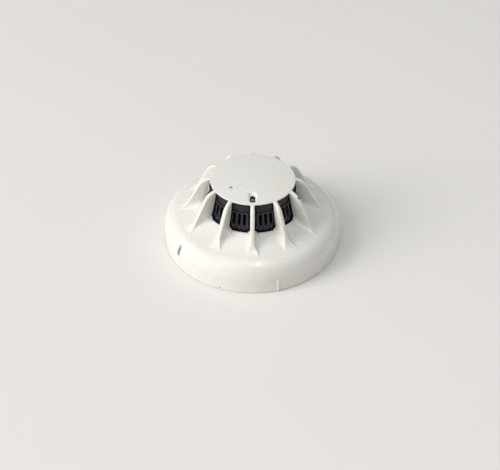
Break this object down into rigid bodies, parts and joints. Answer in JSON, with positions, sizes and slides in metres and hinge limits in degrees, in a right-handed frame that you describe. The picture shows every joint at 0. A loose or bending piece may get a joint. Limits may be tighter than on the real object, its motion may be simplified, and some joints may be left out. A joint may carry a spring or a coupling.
{
  "type": "heat detector",
  "caption": "Round plug-in ceiling fire detector head: finned ventilated cover over a slatted sensing chamber, circuit board and rear bayonet spigot with contact blades.",
  "frame": {"origin": "centre of the rear rim, in the plane on which the head stands", "axes": "+Z from the rear face towards the cap, -Y towards the alarm lamp, +X to the right seen from the lamp side with the cap up"},
  "size_m": [0.109, 0.109, 0.043],
  "materials": {
    "cover_plastic": "glossy moulded ABS, slightly warm off-white",
    "rear_plastic": "satin moulded ABS, off-white",
    "black_plastic": "fine matt black moulding",
    "screen_mesh": "fine woven stainless mesh",
    "board_laminate": "green solder mask over glass-fibre laminate",
    "chip_package": "moulded epoxy package",
    "capacitor_can": "drawn aluminium can",
    "capacitor_ceramic": "fired ceramic with tinned ends",
    "resistor_body": "alumina chip with tinned ends",
    "tinned_lead": "tinned copper",
    "contact_metal": "nickel-plated strip, pressed",
    "rivet_metal": "plated steel rivet",
    "screw_metal": "zinc-plated steel",
    "label_stock": "blank silver-grey polyester label",
    "lamp_lens": "water-clear epoxy",
    "post_plastic": "moulded nylon",
    "emitter_lens": "blue-tinted epoxy",
    "photodiode_lens": "infrared-pass black epoxy",
    "thermistor_glass": "glass-sealed bead"
  },
  "bodies": {
    "chassis": {"rear_body": "rear_plastic", "contact_blade_1": "contact_metal", "contact_blade_2": "contact_metal", "contact_blade_3": "contact_metal", "contact_blade_4": "contact_metal", "contact_rivets": "rivet_metal", "rating_label": "label_stock", "circuit_board": "board_laminate", "board_screws": "screw_metal", "reservoir_capacitor": "capacitor_can", "pulse_capacitor": "capacitor_can", "microcontroller": "chip_package", "bridge_rectifier": "chip_package", "surge_suppressor": "chip_package", "voltage_regulator": "chip_package", "signal_amplifier": "chip_package", "reference_thermistor": "resistor_body", "transistors": "chip_package", "ceramic_capacitors": "capacitor_ceramic", "chip_resistors": "resistor_body", "chamber_base": "black_plastic", "ir_emitter": "emitter_lens", "ir_emitter_leads": "tinned_lead", "photodiode": "photodiode_lens", "photodiode_leads": "tinned_lead", "alarm_lamp": "lamp_lens", "lamp_post": "post_plastic", "alarm_lamp_leads": "tinned_lead", "thermistor_bead": "thermistor_glass", "thermistor_leads": "tinned_lead"},
    "cover": {"outer_cover": "cover_plastic"},
    "lid": {"chamber_lid": "black_plastic", "insect_screen": "screen_mesh"}
  },
  "joints": [
    {"name": "cover_lift", "type": "slide", "parent": "chassis", "child": "cover", "axis": [0, 0, 1], "range_m": [0, 0.05]},
    {"name": "lid_lift", "type": "slide", "parent": "chassis", "child": "lid", "axis": [0, 0, 1], "range_m": [0, 0.025]}
  ],
  "couplings": [
    {"joint": "lid_lift", "follows": "cover_lift", "ratio": 0.5}
  ]
}
